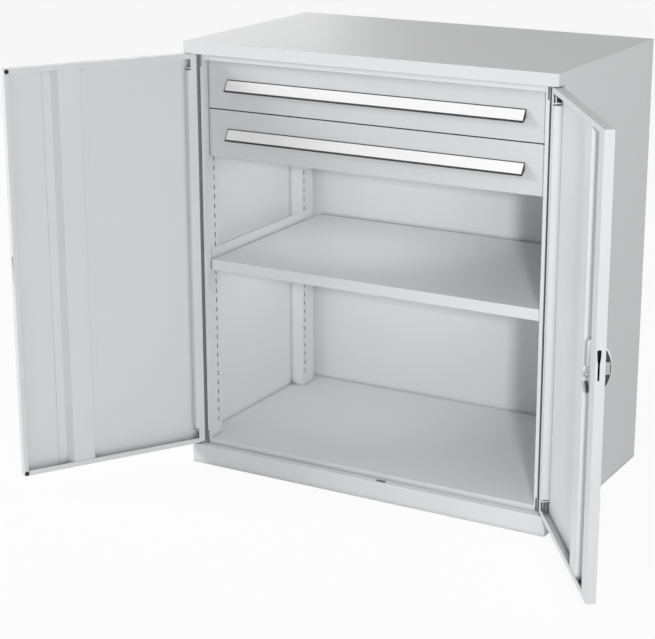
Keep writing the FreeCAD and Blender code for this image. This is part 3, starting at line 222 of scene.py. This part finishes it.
# Shelf and the two angle rails that it lies on: coated like the carcass, but rubbed by
# what slides over it, so its coat is a shade paler and smoother.
SHELF_PALER = 0.015
SHELF_ROUGHNESS = 0.40
shelf_coat = powder_coat("shelf_coat", tinted(COAT, SHELF_PALER), SHELF_ROUGHNESS)
dress(shelf_coat, "shelf", "shelf_carrier_left", "shelf_carrier_right")


# Doors: folded pans with a hat-shaped stiffener welded inside, coated in one pass with
# the same powder as the carcass.
door_coat = powder_coat("door_coat", COAT)
dress(door_coat, "door_pan_left", "door_pan_right", "door_stiffener_left", "door_stiffener_right")


# Drawers: a folded front pan welded to a folded tray. Both are painted darker than the carcass:
# painted shade, for the fronts sit back in the opening and get less light.
DRAWER_PAINTED_SHADE = 0.13
drawer_coat = powder_coat("drawer_coat", tinted(COAT, -DRAWER_PAINTED_SHADE))
dress(drawer_coat, "drawer_front_upper", "drawer_tray_upper")
dress(drawer_coat, "drawer_front_lower", "drawer_tray_lower")


# Runners, rods, lock case and what turns in it: steel with a bright zinc plate, whose
# grain shows as soft flakes, with a highlight painted along the edges.
ZINC = (0.62, 0.63, 0.64, 1.0)
ZINC_ROUGHNESS = 0.26
ZINC_FLAKES = 260.0
FLAKE_SHARE = 0.6
HAZE = 14.0
HAZE_DETAIL = 4.0
HAZE_SHARE = 0.5
HAZE_SPREAD = 0.18
PLATE_DARKER = 0.12
PLATE_PALER = 0.08
PLATE_EDGE_HIGHLIGHT = 0.20
FLAKE_STRENGTH = 0.15
FLAKE_DEPTH = 0.00005


def plated(name, colour, roughness, flake=ZINC_FLAKES):
    """Plated steel: small soft flakes in the plate, a light haze over them, and a painted highlight
    along the edges.
    """
    material, shader, start = new_material(name)
    rounded, edge = folds(start, FOLD_RADIUS)
    place = start.node("ShaderNodeTexCoord", None, None, "Object")
    pattern = {"Vector": place, "Scale": flake}
    flakes = start.node("ShaderNodeTexVoronoi", None, pattern, "Distance")
    haze = noise(start, HAZE, HAZE_DETAIL)
    shade = (flakes * FLAKE_SHARE + haze * HAZE_SHARE).clamped()
    body = shade.blend(tinted(colour, -PLATE_DARKER), tinted(colour, PLATE_PALER))
    # The edges are painted paler: a painted highlight.
    plate = edge.blend(body, tinted(colour, PLATE_EDGE_HIGHLIGHT))
    grain = relief(flakes, FLAKE_STRENGTH, FLAKE_DEPTH, rounded)
    join(shader, Base_Color=plate, Roughness=haze * HAZE_SPREAD + roughness, Normal=grain)
    shader.inputs["Metallic"].default_value = 1.0
    return material


zinc = plated("zinc_plate", ZINC, ZINC_ROUGHNESS)
dress(zinc, *[name for name in BUILD if name.startswith("runner_")])
dress(zinc, "upper_rod", "lower_rod", "lock_case", "lock_bolt", "lock_pinion", "lock_spindle")


# Hinges: angle brackets welded in the door corners and coated with the door, turned
# steel pins with hexagon heads, and black nylon bushes pressed into the sill and the
# top rail. The rod guides are moulded in the same nylon.
PIN_STEEL = (0.48, 0.48, 0.49, 1.0)
PIN_ROUGHNESS = 0.32
PIN_FLAKES = 700.0
pin_steel = plated("pin_steel", PIN_STEEL, PIN_ROUGHNESS, PIN_FLAKES)
dress(door_coat, "hinge_brackets_left", "hinge_brackets_right")
dress(pin_steel, "hinge_pins_left", "hinge_pins_right")

NYLON = (0.016, 0.016, 0.018, 1.0)
NYLON_ROUGHNESS = 0.42
MOULD_EDGE = 0.0005
FLOW_CLOUDS = 30.0
FLOW_DARKER = 0.08
FLOW_PALER = 0.10
SPARK_GRAIN = 900.0
SPARK_DETAIL = 2.0
SPARK_DEPTH = 0.00006
SPARK_STRENGTH = 0.4
SPARK_SPREAD = 0.12
EDGE_HIGHLIGHT_SHARE = 0.5
EDGE_HIGHLIGHT_PALER = 0.45


def moulding(name, colour, roughness, grain=SPARK_GRAIN, depth=SPARK_DEPTH):
    """Moulded plastic or rubber: fine spark-eroded grain, faint flow clouds, a painted highlight
    along the edges.
    """
    material, shader, start = new_material(name)
    rounded, edge = folds(start, MOULD_EDGE)
    cloud = noise(start, FLOW_CLOUDS)
    grit = noise(start, grain, SPARK_DETAIL)
    body = cloud.blend(tinted(colour, -FLOW_DARKER), tinted(colour, FLOW_PALER))
    # The edges are painted paler: a painted highlight.
    skin = (edge * EDGE_HIGHLIGHT_SHARE).blend(body, tinted(colour, EDGE_HIGHLIGHT_PALER))
    spark = relief(grit, SPARK_STRENGTH, depth, rounded)
    join(shader, Base_Color=skin, Roughness=grit * SPARK_SPREAD + roughness, Normal=spark)
    return material


nylon = moulding("black_nylon", NYLON, NYLON_ROUGHNESS)
dress(nylon, "upper_hinge_bushes", "lower_hinge_bushes", "rod_guides")


# Buffers: soft black rubber studs pressed into the free corners of the left door. They
# keep the shut doors from rattling.
RUBBER = (0.010, 0.010, 0.010, 1.0)
RUBBER_ROUGHNESS = 0.62
RUBBER_GRAIN = 400.0
RUBBER_GRAIN_DEPTH = 0.0001
rubber = moulding("buffer_rubber", RUBBER, RUBBER_ROUGHNESS, RUBBER_GRAIN, RUBBER_GRAIN_DEPTH)
dress(rubber, "door_buffers")


# Grips: a dark extruded profile across each drawer front, capped at both ends, that
# holds a white label strip on its sloping face.
# The profile's black is painted shade: it draws the dark lines above and below the label, where its
# lips throw shade.
GRIP_BLACK = (0.022, 0.022, 0.024, 1.0)
GRIP_ROUGHNESS = 0.36
grip_black = moulding("grip_black", GRIP_BLACK, GRIP_ROUGHNESS)
dress(grip_black, "handle_rail_upper", "handle_caps_upper")
dress(grip_black, "handle_rail_lower", "handle_caps_lower")

CARD_LOW = (0.90, 0.90, 0.90, 1.0)
CARD_HIGH = (0.96, 0.96, 0.96, 1.0)
CARD_CLOUDS = 6.0
CARD_ROUGHNESS = 0.30
FIBRES = 420.0
FIBRE_DETAIL = 6.0
FIBRE_SPREAD = 0.10
TOOTH_STRENGTH = 0.1
TOOTH_DEPTH = 0.00004


def label_card(name):
    """White label strip under a clear, lightly glossy skin, with a faint paper tooth."""
    material, shader, start = new_material(name)
    fibre = noise(start, FIBRES, FIBRE_DETAIL)
    card = noise(start, CARD_CLOUDS).blend(CARD_LOW, CARD_HIGH)
    tooth = relief(fibre, TOOTH_STRENGTH, TOOTH_DEPTH)
    join(shader, Base_Color=card, Roughness=fibre * FIBRE_SPREAD + CARD_ROUGHNESS, Normal=tooth)
    return material


dress(label_card("white_label"), "label_strip_upper", "label_strip_lower")


# Lock furniture on the right door: satin chromed die castings for the rose, the bowed
# plate over the grip and the key plug, a duller casting for the grip's boss, and a dark
# grained moulding for its core.
CHROME = (0.62, 0.62, 0.63, 1.0)
CHROME_ROUGHNESS = 0.32
CASTING = (0.40, 0.40, 0.39, 1.0)
CASTING_ROUGHNESS = 0.42
CASTING_FLAKES = 900.0
CORE_GREY = (0.030, 0.031, 0.034, 1.0)
CORE_ROUGHNESS = 0.38
satin_chrome = plated("satin_chrome", CHROME, CHROME_ROUGHNESS, CASTING_FLAKES)
dress(satin_chrome, "handle_rose", "handle_cover", "lock_plug")
dress(plated("dull_casting", CASTING, CASTING_ROUGHNESS, CASTING_FLAKES), "handle_boss")
core_grey = moulding("handle_moulding", CORE_GREY, CORE_ROUGHNESS)
dress(core_grey, "turn_handle")


# Lock works: a half-round cover bar, a stamped lever with its torsion spring on a headed
# pin, a moulded stop and domed rivets stand on the inner face of the lock case. They are
# modelled where they stand on the shut door and then swung open with it.
LOCK_FACE = 0.010
SWING = next(joint for joint in frame["joints"] if joint["name"] == "door_right_swing")
HINGE = Vector(SWING["pos_m"])
OPENED = math.radians(-SWING["range_deg"][0])
ALONG_Y = (math.pi / 2, 0.0, 0.0)
MERGE_REACH = 0.00001
SMOOTH_UP_TO = math.radians(35)
TOUCH = 0.0001  # how near a test comes to a plane
STRAIGHT = 0.9  # share of a way along an axis, past which it counts as along it


def pick(kind, wanted):
    """Select the faces or edges that pass the test on their middle and way, and no others.

    A face's way is its normal and an edge's way is its direction.
    """
    bpy.ops.mesh.select_mode(type="FACE" if kind == "faces" else "EDGE")
    bpy.ops.mesh.select_all(action="DESELECT")
    shape = bmesh.from_edit_mesh(bpy.context.object.data)
    for part in getattr(shape, kind):
        middle = sum((corner.co for corner in part.verts), Vector()) / len(part.verts)
        if kind == "faces":
            way = part.normal
        else:
            way = (part.verts[1].co - part.verts[0].co).normalized()
        if wanted(middle, way):
            part.select_set(True)
    shape.select_flush_mode()
    bmesh.update_edit_mesh(bpy.context.object.data)


def start_piece(name, material):
    """Name the primitive just added, give it its material and open it for shaping."""
    piece = bpy.context.object
    piece.name = name
    piece.data.materials.append(material)
    bpy.ops.object.transform_apply(location=False, rotation=True, scale=True)
    bpy.ops.object.mode_set(mode="EDIT")
    return piece


def end_piece(piece, body="door_right"):
    """Clean the piece, swing a door's piece open with the door and tie it to its body."""
    bpy.ops.mesh.select_all(action="SELECT")
    bpy.ops.mesh.remove_doubles(threshold=MERGE_REACH)
    bpy.ops.mesh.normals_make_consistent(inside=False)
    bpy.ops.object.mode_set(mode="OBJECT")
    bpy.ops.object.transform_apply(location=True, rotation=True, scale=True)
    if body == "door_right":
        bpy.ops.transform.rotate(value=-OPENED, orient_axis="Z", center_override=HINGE)
        bpy.ops.object.transform_apply(location=True, rotation=True, scale=True)
    bpy.ops.object.shade_smooth_by_angle(angle=SMOOTH_UP_TO)
    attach(piece, body)


# Cover bar: a rod cut in half along its length, its ends rounded over.
BAR_RADIUS = 0.0045
BAR_HALF = 0.028
BAR_PLACE = (0.0665, LOCK_FACE, 0.593)
BAR_ROUNDING = 0.0016
bpy.ops.mesh.primitive_cylinder_add(
    vertices=40, radius=BAR_RADIUS, depth=2 * BAR_HALF, location=BAR_PLACE)
cover_bar = start_piece("lock_cover_bar", zinc)
bpy.ops.mesh.select_all(action="SELECT")
bpy.ops.mesh.bisect(
    plane_co=(0.0, LOCK_FACE, 0.0), plane_no=(0.0, -1.0, 0.0), use_fill=True, clear_outer=True)
pick("edges", lambda middle, way: abs(middle.z) > BAR_HALF - TOUCH and middle.y > TOUCH)
bpy.ops.mesh.bevel(offset=BAR_ROUNDING, segments=4)
end_piece(cover_bar)

# Lever: a stamped strip with round ends and a sunk face.
LEVER_SIZE = (0.0078, 0.0016, 0.0300)
LEVER_PLACE = (0.060, LOCK_FACE + LEVER_SIZE[1] / 2, 0.5395)
LEVER_ROUNDING = 0.0036
LEVER_RIM = 0.0011
LEVER_SINK = 0.0004
bpy.ops.mesh.primitive_cube_add(size=1.0, location=LEVER_PLACE, scale=LEVER_SIZE)
lever = start_piece("lock_lever", zinc)
pick("edges", lambda middle, way: abs(way.y) > STRAIGHT)
bpy.ops.mesh.bevel(offset=LEVER_ROUNDING, segments=8)
pick("faces", lambda middle, way: way.y > STRAIGHT)
bpy.ops.mesh.inset(thickness=LEVER_RIM, depth=-LEVER_SINK)
end_piece(lever)

# Pin: a shank through the lever, spread to a flat head with a broken rim.
PIN_RADIUS = 0.0025
PIN_LENGTH = 0.0072
PIN_PLACE = (LEVER_PLACE[0], LOCK_FACE + PIN_LENGTH / 2, 0.549)
HEAD_SPREAD = 2.1
HEAD_THICKNESS = 0.0012
HEAD_BREAK = 0.0005
bpy.ops.mesh.primitive_cylinder_add(
    vertices=32, radius=PIN_RADIUS, depth=PIN_LENGTH, location=PIN_PLACE, rotation=ALONG_Y)
pin = start_piece("lock_spring_pin", pin_steel)
pick("faces", lambda middle, way: way.y > STRAIGHT)
bpy.ops.mesh.extrude_region_move()
bpy.ops.transform.resize(value=(HEAD_SPREAD, 1.0, HEAD_SPREAD), center_override=PIN_PLACE)
bpy.ops.mesh.extrude_region_move(TRANSFORM_OT_translate={"value": (0.0, HEAD_THICKNESS, 0.0)})
pick("edges", lambda middle, way: middle.y > PIN_LENGTH / 2 + HEAD_THICKNESS - TOUCH)
bpy.ops.mesh.bevel(offset=HEAD_BREAK, segments=3)
end_piece(pin)

# Spring: a wire ring carried four times round the pin, its ends drawn out as legs.
WIRE = 0.0005
COIL_RADIUS = 0.0042
COIL_PITCH = 0.0011
COIL_START = 0.0022
COILS = 4
LEG_LENGTH = 0.010
bpy.ops.mesh.primitive_circle_add(
    vertices=12, radius=WIRE, location=(PIN_PLACE[0], LOCK_FACE + COIL_START, PIN_PLACE[2]))
spring = start_piece("lock_spring", pin_steel)
bpy.ops.mesh.select_all(action="SELECT")
bpy.ops.transform.translate(value=(COIL_RADIUS, 0.0, 0.0))
bpy.ops.object.mode_set(mode="OBJECT")
coil = spring.modifiers.new("coil", "SCREW")
coil.axis = "Y"
coil.screw_offset = COIL_PITCH
coil.iterations = COILS
coil.steps = 24
bpy.ops.object.modifier_apply(modifier="coil")
bpy.ops.object.mode_set(mode="EDIT")
bpy.ops.mesh.select_all(action="SELECT")
bpy.ops.mesh.fill_holes(sides=0)
bpy.ops.mesh.select_all(action="SELECT")
bpy.ops.mesh.normals_make_consistent(inside=False)
pick("faces", lambda middle, way: abs(middle.z) < WIRE / 10 and abs(way.z) > STRAIGHT)
bpy.ops.mesh.extrude_region_shrink_fatten(TRANSFORM_OT_shrink_fatten={"value": LEG_LENGTH})
end_piece(spring)

# Stop: a tapered dark block with a sunk face. Its lower end shrinks to the shares in
# STOP_FOOT, towards the back edge.
STOP_SIZE = (0.0150, 0.0070, 0.0260)
STOP_PLACE = (0.0635, LOCK_FACE + STOP_SIZE[1] / 2, 0.5180)
STOP_BACK_EDGE = (0.0705, LOCK_FACE, 0.5180)
STOP_FOOT = (0.34, 0.40, 1.0)
STOP_BREAK = 0.0010
STOP_RIM = 0.0014
STOP_SINK = 0.0007
STOP_EDGE_SLANT = 0.6
STOP_FACE_SLANT = 0.8
STOP_FACE_REACH = 0.004
bpy.ops.mesh.primitive_cube_add(size=1.0, location=STOP_PLACE, scale=STOP_SIZE)
stop = start_piece("lock_stop", core_grey)
pick("faces", lambda middle, way: way.z < -STRAIGHT)
bpy.ops.transform.resize(value=STOP_FOOT, center_override=STOP_BACK_EDGE)
pick("edges", lambda middle, way: abs(way.z) > STOP_EDGE_SLANT)
bpy.ops.mesh.bevel(offset=STOP_BREAK, segments=3)
pick("faces", lambda middle, way: way.y > STOP_FACE_SLANT and abs(middle.x) < STOP_FACE_REACH)
bpy.ops.mesh.inset(thickness=STOP_RIM, depth=-STOP_SINK)
end_piece(stop)

# Rivets: one low dome, copied to the other corners of the case.
RIVET_RADIUS = 0.0024
RIVET_RIM = 0.0008
DOME_STEPS = ((0.0007, 0.0004), (0.0009, 0.0002))
RIVET_PLACES = ((0.0390, 0.5150), (0.0390, 0.6200), (0.0525, 0.6200), (0.0705, 0.5570))
first_x, first_z = RIVET_PLACES[0]
bpy.ops.mesh.primitive_cylinder_add(
    vertices=24, radius=RIVET_RADIUS, depth=RIVET_RIM,
    location=(first_x, LOCK_FACE + RIVET_RIM / 2, first_z), rotation=ALONG_Y)
rivet = start_piece("lock_rivet_1", zinc)
for step_in, step_up in DOME_STEPS:
    pick("faces", lambda middle, way: way.y > STRAIGHT and middle.y > RIVET_RIM / 2 - TOUCH)
    bpy.ops.mesh.inset(thickness=step_in, depth=step_up)
end_piece(rivet)
for number, (place_x, place_z) in enumerate(RIVET_PLACES[1:], 2):
    twin = rivet.copy()
    twin.data = rivet.data.copy()
    twin.name = f"lock_rivet_{number}"
    bpy.context.scene.collection.objects.link(twin)
    away = Vector((place_x - first_x, 0.0, place_z - first_z))
    twin.data.transform(Matrix.Translation(Matrix.Rotation(OPENED, 4, "Z") @ away))
    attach(twin, "door_right")


# Sill: a thin black liner round the slot into which the lower rod drops, seen in the
# photograph as a short dark dash near the sill's front fold.
# The liner's black is painted shade: it stands in for the shade down in the slot.
SILL_TOP = 0.050
LINER_SIZE = (0.0244, 0.0094, 0.0008)
LINER_PLACE = (0.0542, -0.0004, SILL_TOP + LINER_SIZE[2] / 2)
LINER_CORNER = 0.0027
LINER_WALL = 0.0022
bpy.ops.mesh.primitive_cube_add(size=1.0, location=LINER_PLACE, scale=LINER_SIZE)
liner = start_piece("sill_slot_liner", nylon)
pick("edges", lambda middle, way: abs(way.z) > STRAIGHT)
bpy.ops.mesh.bevel(offset=LINER_CORNER, segments=5)
pick("faces", lambda middle, way: abs(way.z) > STRAIGHT)
bpy.ops.mesh.inset(thickness=LINER_WALL)
bpy.ops.mesh.bridge_edge_loops()
end_piece(liner, "cabinet")


# Studio: a white floor that keeps a soft shadow, and low even light from all round. The
# key lamp stands just right of the camera, so each lip throws a thin shadow. One lamp on
# the left, two behind, one above and two under the drawers and the shelf open the shade.
FLOOR_HALF = 45.0
FLOOR_WHITE = (0.90, 0.90, 0.90, 1.0)
FLOOR_ROUGHNESS = 0.9
FLOOR_GLOW = 0.92
FLOOR_DROP = 0.0005
CONTACT_REACH = 0.12
CONTACT_GAIN = 5.0
CONTACT_SAMPLES = 4
WORLD_LIGHT = 0.13
CABINET_MIDDLE = (0.0, 0.3, 0.5)


def looked_at(start):
    """1 for what the camera, a reflection or clear glass sees, 0 for light that falls on things."""
    camera, glossy, clear = [
        start.node("ShaderNodeLightPath", None, None, f"Is {kind} Ray")
        for kind in ("Camera", "Glossy", "Transmission")]
    return (camera + glossy + clear).clamped()


def plain_floor():
    """One large plane, nearly white to the camera, that takes soft shadows."""
    bpy.ops.object.select_all(action="DESELECT")
    bpy.ops.mesh.primitive_plane_add(size=2.0 * FLOOR_HALF)
    floor = bpy.context.object
    floor.name = "studio_floor"
    material, shader, start = new_material("studio_floor")
    tree = material.node_tree
    shader.inputs["Base Color"].default_value = FLOOR_WHITE
    shader.inputs["Roughness"].default_value = FLOOR_ROUGHNESS
    shader.inputs["Specular IOR Level"].default_value = 0.0
    glow = start.node("ShaderNodeEmission", None, {"Strength": 1.0})
    mixed = tree.nodes.new("ShaderNodeMixShader")
    samples, around = {"samples": CONTACT_SAMPLES}, {"Distance": CONTACT_REACH}
    open_share = start.node("ShaderNodeAmbientOcclusion", samples, around, "AO")
    share = looked_at(start) * FLOOR_GLOW * (open_share * CONTACT_GAIN).clamped()
    tree.links.new(share.socket, mixed.inputs[0])
    tree.links.new(shader.outputs[0], mixed.inputs[1])
    tree.links.new(glow.socket, mixed.inputs[2])
    tree.links.new(mixed.outputs[0], tree.nodes["Material Output"].inputs["Surface"])
    floor.data.materials.append(material)
    floor.location.z = -FLOOR_DROP


def bright_world(strength):
    """Even white light from all round, pure white to the camera and in reflections."""
    world = bpy.data.worlds.new("studio")
    bpy.context.scene.world = world
    world.use_nodes = True
    tree = world.node_tree
    background = tree.nodes["Background"]
    background.inputs["Color"].default_value = (1.0, 1.0, 1.0, 1.0)
    level = looked_at(Link(tree)) * (1.0 - strength) + strength
    tree.links.new(level.socket, background.inputs["Strength"])


def soft_lamp(name, place, power, size, depth=None, aim=CABINET_MIDDLE):
    """Large soft lamp turned towards a point and not seen itself; depth makes it oblong."""
    data = bpy.data.lights.new(name, "AREA")
    data.size = size
    data.energy = power
    if depth:
        data.shape = "RECTANGLE"
        data.size_y = depth
    lamp = bpy.data.objects.new(name, data)
    bpy.context.scene.collection.objects.link(lamp)
    lamp.location = place
    lamp.rotation_euler = (Vector(aim) - Vector(place)).to_track_quat("-Z", "Y").to_euler()
    lamp.visible_camera = False


def inside_lamp(name, height, power):
    """Oblong lamp in the cabinet, close under a drawer or the shelf, that looks straight down."""
    across, back = -0.18, 0.30
    soft_lamp(name, (across, back, height), power, size=0.5, depth=0.42, aim=(across, back, 0.0))


plain_floor()
bright_world(WORLD_LIGHT)
soft_lamp("key_lamp", (2.42, -3.54, 1.76), power=101.0, size=0.25)
soft_lamp("left_lamp", (-4.07, -2.05, 2.21), power=132.0, size=1.5)
soft_lamp("top_lamp", (0.0, 0.3, 4.2), power=12.0, size=2.0)
soft_lamp("right_back_lamp", (3.6, 3.4, 1.6), power=40.0, size=2.2)
soft_lamp("left_back_lamp", (-3.4, 3.8, 1.6), power=44.0, size=2.2)
inside_lamp("upper_inside_lamp", height=0.808, power=0.60)
inside_lamp("lower_inside_lamp", height=0.512, power=0.64)
bpy.context.scene.view_settings.view_transform = "Standard"


# Camera: stands in front on the right and looks down on the top, from the height of a
# standing person, turned as the photograph is.
PICTURE_WIDTH = 655.0
PICTURE_HEIGHT = 639.0
SENSOR = 36.0
FOCAL_PIXELS = 1826.8
CENTRE_PIXEL = (345.2, 286.8)
CAMERA_PLACE = (2.046, -3.738, 1.786)
CAMERA_TURN = math.radians(29.26)
CAMERA_TILT = math.radians(16.22)

camera_data = bpy.data.cameras.new("photo_camera")
camera_data.sensor_width = SENSOR
camera_data.lens = FOCAL_PIXELS / PICTURE_WIDTH * SENSOR
camera_data.shift_x = (PICTURE_WIDTH / 2 - CENTRE_PIXEL[0]) / PICTURE_WIDTH
camera_data.shift_y = (CENTRE_PIXEL[1] - PICTURE_HEIGHT / 2) / PICTURE_WIDTH
camera = bpy.data.objects.new("photo_camera", camera_data)
bpy.context.scene.collection.objects.link(camera)
camera.location = CAMERA_PLACE
camera.rotation_euler = (math.pi / 2 - CAMERA_TILT, 0.0, CAMERA_TURN)
bpy.context.scene.camera = camera
